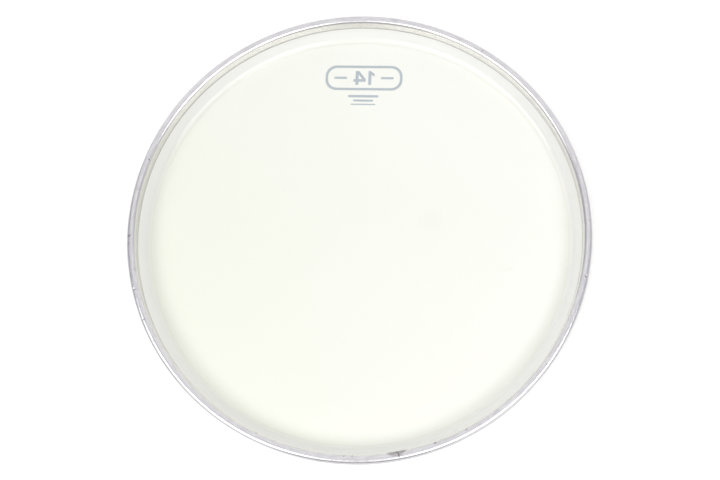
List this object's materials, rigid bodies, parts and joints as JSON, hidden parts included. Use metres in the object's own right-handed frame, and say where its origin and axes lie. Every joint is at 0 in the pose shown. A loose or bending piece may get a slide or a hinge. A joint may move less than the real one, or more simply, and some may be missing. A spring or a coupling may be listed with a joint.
{
  "type": "drum head",
  "caption": "Round coated drum head lying on its playing face: a clear film dish with a formed collar, potted into a rolled aluminium channel hoop.",
  "frame": {"origin": "centre of the playing face, which the head lies on", "axes": "+Z along the head's axis, out of the open side that goes over the drum's shell; +Y towards the printed mark's place"},
  "size_m": [0.372, 0.372, 0.0223],
  "materials": {
    "hoop_aluminium": "mill-bright rolled strip with fine die lines along it",
    "clear_film": "clear glossy film, a little hazy",
    "amber_resin": "set potting resin, smooth where it was poured",
    "white_coating": "sprayed matte coating with a fine pebbled texture"
  },
  "bodies": {
    "root": {"flesh_hoop": "hoop_aluminium", "film": "clear_film", "potting_resin": "amber_resin", "coating": "white_coating"}
  },
  "joints": []
}
